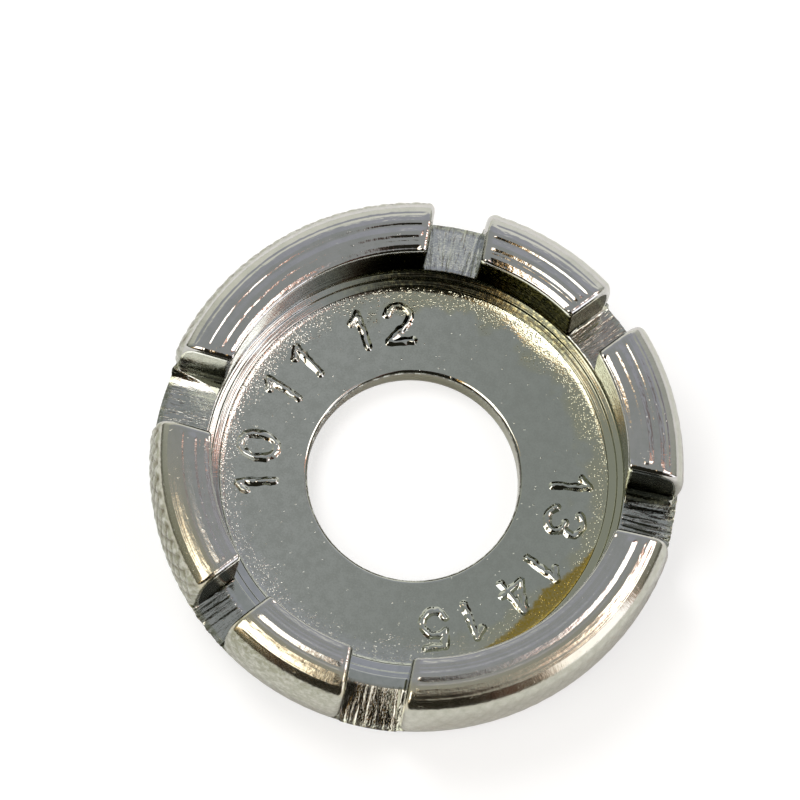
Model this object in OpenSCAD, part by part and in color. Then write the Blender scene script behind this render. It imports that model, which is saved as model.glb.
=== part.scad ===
// Round spoke wrench: one rigid, plated casting with no moving parts, drawn as the
// regions that it is made of. A flat web with a round hole fills the middle. A bowed,
// knurled rim stands round it, and six straight slots cross the rim, each as wide as
// the flats of one size of spoke nipple. What is left of the rim between two slots is
// a land. The regions meet face to face and don't overlap. The origin lies on the
// hole's axis at the underside, and Z points up, out of the dish.

/* [Rim] */
// Outside diameter, where the bowed side is widest
rim_d = 39.5; // [36:0.5:44]
// Thickness of the rim between its bowed side and its upright inside
rim_wall_w = 4.15; // [3:0.05:5.5]
// Height of the rim's crest above the underside
rim_h = 9.6; // [8:0.2:12]
// How far the rim's inner top edge lies below its crest
inner_edge_drop = 0.28; // [0.1:0.02:0.5]
// How far the outer side's top would lie below the crest at the full diameter
outer_edge_drop = 1.25; // [0.7:0.05:1.8]
// Radius of the bowed side, seen in section
side_bow_r = 14; // [11:0.5:30]
// Height at which the bowed side is widest
side_widest_z = 5.4; // [4:0.2:6.6]
// Bevel round the underside
foot_bevel = 0.8; // [0.2:0.1:1.6]

/* [Dish] */
// Thickness of the web, whose top is the dish's floor
web_t = 2.3; // [1.4:0.1:3.2]
// Height of the low step above the floor
low_step_h = 0.3; // [0.1:0.05:0.6]
// Width of the low step, from its inner edge to the high step
low_step_w = 0.65; // [0.3:0.05:1.5]
// Height of the high step above the low one
high_step_h = 0.25; // [0.1:0.05:0.6]
// Width of the high step, from its inner edge to the rim's inside
high_step_w = 0.5; // [0.2:0.05:1]

/* [Hole] */
// Diameter of the round hole in the web
hole_d = 15.8; // [10:0.2:20]
// Radius of the hole's rounded upper edge, seen in section
hole_edge_r = 0.25; // [0.1:0.05:0.6]

/* [Slots] */
// Height of the slots' floors above the high step
slot_floor_h = 0.45; // [0.1:0.05:1]
// Bevel of the lands' outer corners, where a slot leaves the rim
mouth_bevel = 0.5; // [0.1:0.1:1]
// Width of slot 1
slot_1_w = 4.5; // [3.2:0.05:6]
// Angle of slot 1, in degrees anticlockwise from +X
slot_1_angle = 3.6; // [-4:0.2:10]
// Width of slot 2
slot_2_w = 3.3; // [3.2:0.05:6]
// Angle of slot 2
slot_2_angle = 52.9; // [46:0.1:58]
// Width of slot 3
slot_3_w = 3.95; // [3.2:0.05:6]
// Angle of slot 3
slot_3_angle = 96; // [90:0.5:104]
// Width of slot 4
slot_4_w = 5.5; // [3.2:0.05:6]
// Angle of slot 4
slot_4_angle = 180; // [172:0.5:188]
// Width of slot 5
slot_5_w = 3.45; // [3.2:0.05:6]
// Angle of slot 5
slot_5_angle = 233.7; // [226:0.1:240]
// Width of slot 6
slot_6_w = 4.4; // [3.2:0.05:6]
// Angle of slot 6
slot_6_angle = 275.4; // [268:0.1:284]

/* [Hidden] */
$fn = 128;

plated_steel = [0.66, 0.67, 0.65];
milled_steel = [0.58, 0.59, 0.57];
full_turn = 360;

rim_r = rim_d / 2;
rim_inside_r = rim_r - rim_wall_w;
hole_r = hole_d / 2;

// The steps climb from the floor to the rim's inside, and the slots' floors lie above them
high_step_r = rim_inside_r - high_step_w;
floor_r = high_step_r - low_step_w;
low_step_z = web_t + low_step_h;
high_step_z = low_step_z + high_step_h;
slot_floor_z = high_step_z + slot_floor_h;

// The bowed side is an arc, and this is where it reaches the underside
side_arc_x = rim_r - side_bow_r;
foot_r = side_arc_x + sqrt(pow(side_bow_r, 2) - pow(side_widest_z, 2));

// The crown is the circle that passes through both edges of the top and touches the
// level of the crest. The line through the edges cuts that level at a point, and the
// crest lies the mean proportional of the edges' distances away from that point.
edges_fall = outer_edge_drop - inner_edge_drop;
edges_apart = sqrt(pow(rim_wall_w, 2) + pow(edges_fall, 2));
crest_inset = (edges_apart * sqrt(inner_edge_drop * outer_edge_drop) - rim_wall_w * inner_edge_drop)
    / edges_fall;
crown_r = (pow(crest_inset, 2) + pow(inner_edge_drop, 2)) / (2 * inner_edge_drop);
crown_x = rim_inside_r + crest_inset;
crown_z = rim_h - crown_r;

slot_widths = [slot_1_w, slot_2_w, slot_3_w, slot_4_w, slot_5_w, slot_6_w];
slot_angles = [slot_1_angle, slot_2_angle, slot_3_angle, slot_4_angle, slot_5_angle, slot_6_angle];
slot_count = len(slot_widths);
overrun = rim_h / 10;

// Section of everything inside the bowed side and above the bevelled foot
module side_outline() {
    intersection() {
        translate([side_arc_x, side_widest_z]) circle(r = side_bow_r);
        polygon([
            [0, 0],
            [foot_r - foot_bevel, 0],
            [foot_r - foot_bevel + rim_h, rim_h],
            [0, rim_h]
        ]);
    }
}

// Section of the web, cut off square at the low step
module web_section() {
    translate([hole_r, 0]) square([floor_r - hole_r, web_t - hole_edge_r]);
    translate([hole_r + hole_edge_r, 0]) square([floor_r - hole_r - hole_edge_r, web_t]);
    translate([hole_r + hole_edge_r, web_t - hole_edge_r]) circle(r = hole_edge_r);
}

// Section of the rim below the slots' floors, with the two steps on its inside
module rim_base_section() {
    intersection() {
        side_outline();
        union() {
            translate([floor_r, 0]) square([rim_r, low_step_z]);
            translate([high_step_r, 0]) square([rim_r, high_step_z]);
            translate([rim_inside_r, 0]) square([rim_r, slot_floor_z]);
        }
    }
}

// Section of a land, from the slots' floors up to the crowned top
module land_section() {
    intersection() {
        side_outline();
        translate([rim_inside_r, slot_floor_z]) square([rim_r, rim_h]);
        union() {
            square([rim_d, crown_z]);
            translate([crown_x, crown_z]) circle(r = crown_r);
        }
    }
}

// The space of one slot, from the axis out past the rim, flaring at 45 degrees at its mouth
module slot_space(i) {
    half_w = slot_widths[i] / 2;
    flare_x = rim_r - mouth_bevel;
    flared_half_w = half_w + rim_d - flare_x;
    rotate([0, 0, slot_angles[i]])
        translate([0, 0, slot_floor_z - overrun])
            linear_extrude(rim_h)
                polygon([
                    [0, -half_w],
                    [flare_x, -half_w],
                    [rim_d, -flared_half_w],
                    [rim_d, flared_half_w],
                    [flare_x, half_w],
                    [0, half_w]
                ]);
}

// A land fills the arc from one slot's middle to the next one's, less both slots
module land(number) {
    first = number - 1;
    next = number % slot_count;
    span = (slot_angles[next] - slot_angles[first] + full_turn) % full_turn;
    color(plated_steel) difference() {
        rotate([0, 0, slot_angles[first]]) rotate_extrude(angle = span) land_section();
        slot_space(first);
        slot_space(next);
    }
}

module web() {
    color(plated_steel) rotate_extrude() web_section();
}

module rim_base() {
    color(milled_steel) rotate_extrude() rim_base_section();
}

module land_1() land(1);
module land_2() land(2);
module land_3() land(3);
module land_4() land(4);
module land_5() land(5);
module land_6() land(6);

web();
rim_base();
land_1();
land_2();
land_3();
land_4();
land_5();
land_6();
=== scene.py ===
# %% [markdown]
# # A round spoke wrench
#
# The real tool looks like one small casting, bright with plate: a dish with a hole in it and a
# knurled rim that six slots cross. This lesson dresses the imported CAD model. Each CAD region
# gets a surface of its own, worked out with numpy as a profile carried round the axis, because
# turned and cast detail is easiest to say as "so much metal at this radius and this angle".

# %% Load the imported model
import math

import bpy
import numpy as np
from mathutils import Matrix


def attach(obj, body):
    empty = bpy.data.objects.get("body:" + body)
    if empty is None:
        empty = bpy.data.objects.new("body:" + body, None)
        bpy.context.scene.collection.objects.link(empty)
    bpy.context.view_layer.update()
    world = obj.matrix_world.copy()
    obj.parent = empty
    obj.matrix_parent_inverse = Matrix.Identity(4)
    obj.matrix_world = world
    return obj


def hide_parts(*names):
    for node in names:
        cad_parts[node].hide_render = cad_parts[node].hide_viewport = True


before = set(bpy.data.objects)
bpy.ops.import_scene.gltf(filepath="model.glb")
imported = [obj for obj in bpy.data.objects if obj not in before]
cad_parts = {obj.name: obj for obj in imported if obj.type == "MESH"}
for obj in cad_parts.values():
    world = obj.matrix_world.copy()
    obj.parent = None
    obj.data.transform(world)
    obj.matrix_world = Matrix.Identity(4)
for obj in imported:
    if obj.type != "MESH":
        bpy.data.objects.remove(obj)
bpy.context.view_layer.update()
MM = 0.001
print("nodes:", sorted(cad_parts))

# %% [markdown]
# ## Sizes
#
# The CAD gives the main sizes in millimetres. The smaller ones are finer than the CAD needs: the
# shoulder, the grooves on the crown, the ends of the lands, the slots' falls, lips and streaks,
# and the knurling's depth. They were set until the reflections looked like those of the
# photograph, so they are a likeness and not measurements. The slots' warmth and coarseness are
# finishes that were set in the same way.

# %% Main sizes, in millimetres
HOLE_R = 7.9
FLOOR_Z = 2.3
FLOOR_R = 14.45
LOW_STEP_Z = 2.6
HIGH_STEP_R = 15.1
HIGH_STEP_Z = 2.85
RIM_INSIDE_R = 15.6
SLOT_FLOOR_Z = 3.3
SIDE_R = 19.75
BOW_R = 14.0
BOW_Z = 5.4
FOOT_BEVEL = 0.8
SHOULDER_ROUND = 1.85
SHOULDER_Z = 7.64
SHOULDER_TURN = math.asin((SHOULDER_Z - BOW_Z) / (BOW_R - SHOULDER_ROUND))
SHOULDER_R = SIDE_R - BOW_R + (BOW_R - SHOULDER_ROUND) * math.cos(SHOULDER_TURN)
SHOULDER_START_Z = BOW_Z + BOW_R * math.sin(SHOULDER_TURN)
# A mirror shows its room, so the room has to be right. It is a colour for each direction, which costs nothing
# to render and needs no objects: a plain grey ceiling, walls that are pale behind and dark where the camera
# stands, and a white table. All of it was set until the crown, the shoulder and the slots' walls mirrored
# about what they do in the photograph.
CROWN_EDGE_Z = 9.14
CROWN_INSIDE_R = 15.34

# one value for each slot, anticlockwise from +X: millimetres, radians, slopes or shares of 1
SLOT_WIDTHS = np.array([4.5, 3.3, 3.95, 5.5, 3.45, 4.4])
SLOT_ANGLES = np.radians([3.6, 52.9, 96.0, 180.0, 233.7, 275.4])
SLOT_FILLETS = np.array([1.1, 0.2, 0.15, 1.4, 0.15, 0.12])
SLOT_STRIPS = np.array([15.7, 15.7, 15.7, 15.7, 16.6, 16.3])
SLOT_FALLS = np.tan(np.radians([3.0, 9.0, 16.8, 11.0, 4.5, 17.5]))
SLOT_STREAKS = np.array([0.028, 0.010, 0.015, 0.006, 0.010, 0.009])
SLOT_WARMTH = np.array([0.0, 0.45, 0.0, 0.1, 0.1, 0.4])
SLOT_COARSE = np.array([0.8, 0.8, 0.9, 0.8, 0.6, 0.6])
SLOT_LIPS = np.array([0.0, 0.0, 0.0, 0.0, 0.08, 0.05])

# %% [markdown]
# ## Helpers
#
# A smooth random field comes from white noise with its short waves taken out, which costs two
# Fourier transforms and no loop. A grid of points becomes a mesh in one call, and the sign of
# the enclosed volume tells whether its faces point outwards.

# %% Random fields and grids


def smooth_noise(shape, waves, seed):
    """White noise whose spectrum is cut to a Gaussian band.

    waves gives, for each axis, about the shortest wave that stays, in grid steps. The result repeats
    at the grid's ends and has a mean of 0 and a spread of 1.
    """
    spectrum = np.fft.fft2(np.random.default_rng(seed).standard_normal(shape))
    first, second = np.meshgrid(np.fft.fftfreq(shape[0]), np.fft.fftfreq(shape[1]), indexing="ij")
    spectrum *= np.exp(-((first * waves[0]) ** 2) - (second * waves[1]) ** 2)
    field = np.fft.ifft2(spectrum).real
    return (field - field.mean()) / field.std()


def smooth_step(low, high, value):
    """0 below low, 1 above high, and the cubic 3t^2 - 2t^3 of the share t in between."""
    share = np.clip((value - low) / (high - low), 0, 1)
    return share * share * (3 - 2 * share)


def grid_faces(rows, columns, close_rows=False, close_columns=False, first=0):
    """Quads between neighbouring points of a grid whose points are numbered row by row."""
    index = first + np.arange(rows * columns).reshape(rows, columns)
    if close_rows:
        index = np.vstack([index, index[:1]])
    if close_columns:
        index = np.hstack([index, index[:, :1]])
    corners = (index[:-1, :-1], index[1:, :-1], index[1:, 1:], index[:-1, 1:])
    return np.stack([c.ravel() for c in corners], axis=1)


def enclosed_volume(points, quads):
    """A sixth of the sum of a . (b x c) over both triangles of every quad."""
    a, b, c, d = (points[quads[:, k]] for k in range(4))
    return (np.einsum("ij,ij->i", a, np.cross(b, c)) + np.einsum("ij,ij->i", a, np.cross(c, d))).sum() / 6


def build_piece(name, points, quads, material, slot, nodes, polygons=(), marks=None, crease=40):
    """Puts millimetre points and their faces into a mesh that rides on the root body."""
    if enclosed_volume(points, quads) < 0:
        quads = quads[:, ::-1]
        polygons = [p[::-1] for p in polygons]
    mesh = bpy.data.meshes.new(name)
    faces = quads.tolist() + [list(map(int, p)) for p in polygons]
    mesh.from_pydata((points * MM).tolist(), [], faces)
    mesh.validate()
    mesh.shade_smooth()
    mesh.set_sharp_from_angle(angle=math.radians(crease))
    for label, values in (marks or {}).items():
        layer = mesh.attributes.new(label, "FLOAT", "POINT")
        layer.data.foreach_set("value", values.astype(np.float32))
    mesh.materials.append(material)
    piece = bpy.data.objects.new(name, mesh)
    bpy.context.scene.collection.objects.link(piece)
    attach(piece, "root")
    if nodes:
        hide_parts(*nodes)
    triangles = 2 * len(quads) + sum(len(p) - 2 for p in polygons)
    print(f"{name}: {len(points)} points, {triangles} triangles")
    return piece


def arc(centre, radius, start, end, count):
    """Points of a circle between two angles in degrees, as rows of (r, z)."""
    angle = np.radians(np.linspace(start, end, count))
    return np.stack([centre[0] + radius * np.cos(angle), centre[1] + radius * np.sin(angle)], axis=1)


def line(start, end, count, last=True):
    """Evenly spaced points from start to end, as rows of (r, z)."""
    share = np.linspace(0, 1, count, endpoint=last)[:, None]
    return np.array(start) * (1 - share) + np.array(end) * share


print("smooth step at 0, 1/4, 1/2 and 1:", smooth_step(0, 1, np.array([0, 0.25, 0.5, 1])))

# %% [markdown]
# ## Colours of the plate
#
# Linear red, green and blue, as the metal reflects them. Clean plate is about (0.66, 0.67, 0.65)
# here, and the rest are thin plate, dull film and dirt, and some painted shade, shadow and
# reflection. All were set by the mean grey of each ring in the photograph, in this scene's own light.

# %% Colours
RIM_PALE, RIM_GREY, RIM_GOLDEN = (0.67, 0.67, 0.66), (0.61, 0.62, 0.60), (0.66, 0.62, 0.46)
# the wall's dull black and brown, and its dull edge tint, are painted shade on the inner walls
WALL_GREY, DULL_SHADE_BLACK, DULL_SHADE_BROWN = (0.40, 0.41, 0.33), (0.045, 0.05, 0.042), (0.245, 0.23, 0.15)
PLAIN_EDGE, DULL_SHADE_EDGE = (1.0, 1.0, 1.0), (0.27, 0.27, 0.24)
SIDE_PALE, SIDE_DULL, KNURL_FILM_AND_SHADE = (0.62, 0.64, 0.58), (0.34, 0.36, 0.27), (0.12, 0.105, 0.045)
FLOOR_PALE, FLOOR_GREY, FLOOR_DARK = (0.74, 0.76, 0.73), (0.59, 0.62, 0.575), (0.45, 0.47, 0.43)
# the golden patch on the floor's corner is a painted reflection
FLOOR_WARM, GOLDEN_REFLECTION = (0.58, 0.58, 0.42), (0.46, 0.33, 0.05)
# the hole's dark edge colour is painted shade
HOLE_WALL, EDGE_SHADE, UNDERSIDE = (0.23, 0.235, 0.14), (0.10, 0.09, 0.07), (0.60, 0.62, 0.60)
BASE_PALE, BASE_GREY, STEP_WARM = (0.65, 0.67, 0.67), (0.57, 0.60, 0.59), (0.55, 0.56, 0.42)
SLOT_WARM, STREAK_DARK = (0.34, 0.29, 0.18), (0.15, 0.11, 0.08)
# the black and brown spots paint the steps' shadow in the far corner
STEP_SHADOW_BLACK, STEP_SHADOW_BROWN = (0.05, 0.055, 0.035), (0.40, 0.38, 0.20)
print("the rim's clean plate, pale and grey:", RIM_PALE, RIM_GREY)

# %% [markdown]
# ## The plated finishes
#
# Bright nickel is a mirror that is a little grey and a little warm. What tells it from a plain
# mirror is small: the lathe's fine rings on the rim, the cutter's streaks in the slots, and the
# pitted skin of the casting on the dish's floor. Every pattern is worked out from the object's
# own coordinates, most of them turned into a radius and an angle first, in millimetres.

# %% Node helpers


class Nodes:
    """A short way to write shader maths: each call makes one node and returns its output."""

    def __init__(self, owner):
        owner.use_nodes = True
        self.tree = owner.node_tree
        self.tree.nodes.clear()

    def add(self, kind, inputs=(), **settings):
        node = self.tree.nodes.new(kind)
        for key, value in settings.items():
            setattr(node, key, value)
        for key, value in dict(inputs).items():
            self.put(node.inputs[key], value)
        return node

    def put(self, socket, value):
        """Links a socket's value, or sets it; a colour is three numbers and is opaque."""
        if isinstance(value, bpy.types.NodeSocket):
            self.tree.links.new(value, socket)
        else:
            socket.default_value = (*value, 1.0) if socket.type == "RGBA" else value

    def math(self, operation, *values):
        return self.add("ShaderNodeMath", enumerate(values), operation=operation).outputs[0]

    def times(self, product, *others):
        for other in others:
            product = self.math("MULTIPLY", product, other)
        return product

    def plus(self, total, *others):
        for other in others:
            total = self.math("ADD", total, other)
        return total

    def along(self, vector, axis):
        """How far a vector reaches along an axis: their dot product."""
        inputs = {0: vector, 1: tuple(axis)}
        return self.add("ShaderNodeVectorMath", inputs, operation="DOT_PRODUCT").outputs["Value"]

    def ramp(self, value, low, high, to_low=0.0, to_high=1.0, smooth=True):
        """Maps low..high to to_low..to_high, clamped at both ends."""
        node = self.add("ShaderNodeMapRange", interpolation_type="SMOOTHSTEP" if smooth else "LINEAR")
        for socket, given in zip(node.inputs, (value, low, high, to_low, to_high)):
            self.put(socket, given)
        return node.outputs[0]

    def noise(self, vector, scale, detail=2.0, roughness=0.5):
        """Smooth noise of about 0.5, whose waves are about 1 / scale long."""
        inputs = {"Vector": vector, "Scale": scale, "Detail": detail, "Roughness": roughness}
        return self.add("ShaderNodeTexNoise", inputs).outputs["Fac"]

    def stretched(self, axes, scales, detail=2.0, roughness=0.5):
        """Noise over three values, such as radius, angle and height, with a scale for each."""
        scaled = {k: self.times(*pair) for k, pair in enumerate(zip(axes, scales))}
        return self.noise(self.add("ShaderNodeCombineXYZ", scaled).outputs[0], 1.0, detail, roughness)

    def cells(self, vector, scale):
        """Distance to the nearest of some scattered points, and a random value for that point."""
        found = self.add("ShaderNodeTexVoronoi", {"Vector": vector, "Scale": scale}).outputs
        return found["Distance"], self.add("ShaderNodeSeparateColor", {0: found["Color"]}).outputs[0]

    def blend(self, share, first, second):
        node = self.add("ShaderNodeMix", data_type="RGBA", blend_type="MIX")
        for socket, given in zip((node.inputs[0], node.inputs[6], node.inputs[7]), (share, first, second)):
            self.put(socket, given)
        return node.outputs[2]

    def mark(self, label):
        """A value that the mesh carries at its points."""
        return self.add("ShaderNodeAttribute", attribute_name=label).outputs["Fac"]


def polar_coordinates(n):
    """Millimetre coordinates of the object: the whole vector, radius, angle in radians, height."""
    raw = n.add("ShaderNodeTexCoord").outputs["Object"]
    vector = n.add("ShaderNodeVectorMath", {0: raw, 3: 1 / MM}, operation="SCALE").outputs[0]
    x, y, z = n.add("ShaderNodeSeparateXYZ", {0: vector}).outputs[:3]
    radius = n.math("SQRT", n.plus(n.times(x, x), n.times(y, y)))
    return vector, radius, n.math("ARCTAN2", y, x), z


def warm_side(n, vector):
    """1 on the right and the far side, where the plate is yellower, and 0 on the near left."""
    return n.ramp(n.along(vector, (1.0, 0.6, 0.0)), -6.0, 4.0)


def finish_material(n, colour, roughness, height, height_mm, edge=PLAIN_EDGE):
    """A metal whose bump height is height, 0 to 1, times height_mm, with a tint at grazing views."""
    bump = n.add("ShaderNodeBump", {"Height": height, "Strength": 1.0, "Distance": height_mm * MM})
    shader = n.add("ShaderNodeBsdfPrincipled", {"Base Color": colour, "Roughness": roughness})
    shader.inputs["Metallic"].default_value = 1.0
    n.put(shader.inputs["Specular Tint"], edge)
    n.put(shader.inputs["Normal"], bump.outputs[0])
    n.add("ShaderNodeOutputMaterial", {0: shader.outputs[0]})


# %% [markdown]
# ### The knurled side
#
# The side belongs to the lands above and to the base below, and no line shows between them, so
# both take their side's colour from one function. The plate is duller in patches on the left,
# and a brown film lies in the knurling, made darker there to paint the grooves' shade.

# %% Knurled side
def side_finish(n, vector, radius, angle, hollow, plate):
    """The colour with the side's patches, and the film and painted shade in its grooves, and how far a point
    is on the side.
    """
    on_side = n.ramp(radius, 18.95, 19.25)
    from_left = n.times(radius, n.math("COSINE", angle))
    patches = n.ramp(n.noise(vector, 2.3, 4.0, 0.65), 0.36, 0.58)
    blotch = n.times(patches, n.ramp(from_left, 6.0, -9.0, 0.25, 1.0))
    side = n.blend(blotch, SIDE_PALE, SIDE_DULL)
    # a brown film in the knurl's grooves, made dark enough to paint shade there too
    film_and_shade = n.times(hollow, n.ramp(n.noise(vector, 1.7, 3.0), 0.35, 0.6, 0.5, 1.0))
    return n.blend(film_and_shade, n.blend(n.times(on_side, 0.9), plate, side), KNURL_FILM_AND_SHADE), on_side


# %% [markdown]
# ### The rim's plate
#
# Fine turned rings and a little chatter along them cover the crown. The marks on the mesh tell
# where the slots' walls, the knurling's grooves and the satin side near the viewer are, and where
# the inner side is dull, with painted shade: near-black spots on the far inner walls and some slot walls.

# %% Rim plate
def make_plated_rim():
    material = bpy.data.materials.new("plated_rim")
    n = Nodes(material)
    vector, radius, angle, z = polar_coordinates(n)
    wall, hollow, dull, satin = map(n.mark, ("wall", "hollow", "dull", "satin"))
    rings = n.stretched((radius, angle, z), (4.0, 4.0, 4.0), 3.0)
    chatter = n.stretched((radius, angle, z), (2.0, 95.0, 1.0), 2.0, 0.6)
    mottle = n.noise(vector, 0.9, 3.0, 0.6)
    specks = n.ramp(n.noise(vector, 3.6, 0.0), 0.76, 0.82)
    plate = n.blend(n.ramp(mottle, 0.35, 0.7), RIM_PALE, RIM_GREY)
    plate = n.blend(n.times(satin, n.ramp(radius, 17.0, 17.7), 0.8), plate, RIM_GOLDEN)
    plate = n.blend(n.times(wall, 0.8), plate, WALL_GREY)
    # painted shade: a near-black, brown-spotted plate where the inner walls are marked dull
    spotted_shade = n.blend(n.ramp(n.noise(vector, 4.0, 3.0, 0.6), 0.48, 0.68), DULL_SHADE_BLACK, DULL_SHADE_BROWN)
    plate = n.blend(dull, plate, spotted_shade)
    colour, on_side = side_finish(n, vector, radius, angle, hollow, plate)
    roughness = n.plus(n.ramp(mottle, 0.3, 0.75, 0.07, 0.12), n.times(hollow, 0.14), n.times(satin, 0.11))
    turned = n.plus(n.times(rings, 0.4), n.times(chatter, 0.45))
    calmed = n.times(turned, n.math("SUBTRACT", 1.0, n.times(wall, 0.75)))
    grainy = n.math("MAXIMUM", on_side, n.times(dull, 1.3))
    skin = n.times(grainy, n.noise(vector, 5.0, 2.0), 1.3)
    height = n.plus(calmed, skin, n.times(specks, 0.3))
    finish_material(n, colour, roughness, height, 0.013, n.blend(dull, PLAIN_EDGE, DULL_SHADE_EDGE))
    return material


plated_rim = make_plated_rim()
print("plated_rim:", len(plated_rim.node_tree.nodes), "nodes")

# %% [markdown]
# ### The cast floor
#
# The floor is smooth by the hole, with a few pimples, and grainy towards the rim, as a mould's
# skin leaves it. A painted golden reflection lies in the corner on the right, between two
# limits that move outwards on both sides of its middle. The hole's edge has a broken line of
# painted shade.

# %% Cast floor
def make_cast_floor():
    material = bpy.data.materials.new("cast_floor")
    n = Nodes(material)
    vector, radius, angle, z = polar_coordinates(n)
    wander = n.ramp(n.noise(vector, 0.45), 0.3, 0.7, -0.9, 0.9)
    outer = n.times(n.ramp(n.plus(radius, wander), 12.1, 13.6), n.ramp(z, 1.0, 2.0))
    grain = n.noise(vector, 7.0, 2.0, 0.65)
    fine = n.noise(vector, 1.6, 3.0)
    swell = n.noise(vector, 0.8, 2.0)
    away, lot = n.cells(vector, 7.5)
    domes = n.times(n.ramp(away, 0.6, 0.0), n.ramp(lot, 0.2, 1.0, 0.15, 1.0))
    away, lot = n.cells(vector, 4.6)
    chosen = n.math("GREATER_THAN", lot, n.math("SUBTRACT", 0.955, n.times(outer, 0.1)))
    pimples = n.times(chosen, n.ramp(away, 0.30, 0.04))

    # the painted golden reflection: beyond a radius that grows by 2.7 and 4.6 mm per radian on its two sides
    ragged = n.plus(radius, n.ramp(n.noise(vector, 2.6, 3.0), 0.3, 0.7, -0.10, 0.10))
    turned = n.plus(angle, 0.454)
    left = n.times(n.math("MAXIMUM", n.times(turned, -1.0), 0.0), 2.7)
    right = n.times(n.math("MAXIMUM", turned, 0.0), 4.6)
    beyond = n.math("SUBTRACT", ragged, n.plus(left, right))
    painted_reflection = n.times(n.ramp(beyond, 12.65, 13.0), n.ramp(z, 2.2, 2.29))

    at_hole = n.ramp(radius, 8.06, 8.0)
    # painted shade: a broken dark line round the hole's top edge
    painted_edge_shade = n.times(at_hole, n.ramp(z, 1.98, 2.06), n.ramp(n.noise(vector, 2.4, 2.0), 0.36, 0.5))
    in_hole = n.times(at_hole, n.ramp(z, 2.06, 1.98))
    from_left = n.times(radius, n.math("COSINE", angle))
    plate = n.blend(n.ramp(from_left, -11.0, 9.0), FLOOR_PALE, FLOOR_GREY)
    patchy = n.plus(n.times(fine, 0.5), n.times(grain, 0.5))
    plate = n.blend(n.times(n.ramp(patchy, 0.36, 0.64), 0.42), plate, FLOOR_DARK)
    plate = n.blend(in_hole, plate, HOLE_WALL)
    plate = n.blend(n.times(outer, 0.7, warm_side(n, vector)), plate, FLOOR_WARM)
    plate = n.blend(n.times(painted_reflection, n.ramp(grain, 0.35, 0.65, 0.75, 1.0)), plate, GOLDEN_REFLECTION)
    plate = n.blend(n.times(painted_edge_shade, 0.8), plate, EDGE_SHADE)
    colour = n.blend(n.ramp(z, 0.3, 0.1), plate, UNDERSIDE)
    roughness = n.plus(n.ramp(fine, 0.3, 0.75, 0.05, 0.10), n.times(outer, 0.05))
    rough = n.times(n.plus(n.times(grain, 0.12), n.times(domes, 0.44)), n.plus(outer, 0.02))
    finish_material(n, colour, roughness, n.plus(rough, n.times(pimples, 0.55), n.times(swell, 0.12)), 0.045)
    return material


cast_floor = make_cast_floor()
print("cast_floor:", len(cast_floor.node_tree.nodes), "nodes")

# %% [markdown]
# ### The milled slots
#
# The cutter left broken streaks that run out through the rim, some of them dark. The same
# piece holds the two steps round the dish, which are turned, warm on the right, and spotted
# with painted shadow, the steps' own, in the far corner.

# %% Milled slots
def make_milled_slots():
    material = bpy.data.materials.new("milled_slots")
    n = Nodes(material)
    vector, radius, angle, z = polar_coordinates(n)
    hollow, slots, warm = map(n.mark, ("hollow", "slots", "warm"))
    streaks = n.stretched((angle, radius, z), (130.0, 1.1, 0.3), 3.0, 0.65)
    rings = n.stretched((radius, angle, z), (9.0, 2.5, 3.0))
    grain = n.noise(vector, 6.0, 2.0)
    inside = n.ramp(radius, 15.66, 15.6)
    plate = n.blend(n.ramp(n.noise(vector, 1.2, 3.0), 0.3, 0.7), BASE_PALE, BASE_GREY)
    plate = n.blend(n.times(inside, 0.9, warm_side(n, vector)), plate, STEP_WARM)
    plate = n.blend(warm, plate, SLOT_WARM)
    plate, on_side = side_finish(n, vector, radius, angle, hollow, plate)
    # painted shadow: dark spots where the steps shade the far corner
    painted_step_shadow = n.times(n.ramp(angle, 0.80, 1.02), n.ramp(angle, 2.35, 1.9), inside)
    spotted_shade = n.blend(n.ramp(n.noise(vector, 3.5, 3.0, 0.6), 0.45, 0.68), STEP_SHADOW_BLACK, STEP_SHADOW_BROWN)
    plate = n.blend(n.times(painted_step_shadow, 0.85), plate, spotted_shade)
    plate = n.blend(n.times(n.ramp(streaks, 0.54, 0.66), slots, 0.7), plate, STREAK_DARK)
    colour = n.blend(n.ramp(z, 0.3, 0.1), plate, UNDERSIDE)
    satin = n.times(n.ramp(n.math("SINE", angle), 0.1, -0.75), on_side)
    roughness = n.plus(n.ramp(grain, 0.3, 0.8, 0.06, 0.13), n.times(hollow, 0.14), n.times(satin, 0.11))
    cut = n.times(n.plus(n.times(slots, 0.9), 0.1), n.plus(n.times(streaks, 0.7), n.times(grain, 0.3)))
    skin = n.times(on_side, n.noise(vector, 5.0, 2.0), 0.375)
    finish_material(n, colour, roughness, n.plus(cut, skin, n.times(rings, inside, 0.3)), 0.045)
    return material


milled_slots = make_milled_slots()
print("milled_slots:", len(milled_slots.node_tree.nodes), "nodes")

# %% [markdown]
# ## The rim's outer side
#
# The side is a shallow barrel with a shoulder rolled over at its top, and it was knurled before
# it was plated. A diamond knurl is two families of slanting grooves. The plate has filled them,
# so the grooves are soft: the product of two rectified sine waves, raised to a small power.

# %% Side profile and knurling
KNURLS = 100
KNURL_TILT_MM = 2.1
KNURL_DEPTH = 0.13
KNURL_FOOT_Z = 1.0
KNURL_TOP_Z = 8.75
KNURL_CLEAREST = math.radians(160)
KNURL_SHARPNESS = 0.6
LEAST_KNURLED = 0.2


def side_radius(z):
    """r of the barrel below the shoulder's start, and of the circle that rounds it off above."""
    barrel = SIDE_R - BOW_R + np.sqrt(BOW_R**2 - (z - BOW_Z) ** 2)
    shoulder = SHOULDER_R + np.sqrt(np.maximum(SHOULDER_ROUND**2 - np.maximum(z - SHOULDER_Z, 0) ** 2, 0))
    return np.where(z < SHOULDER_START_Z, barrel, shoulder)


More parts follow.
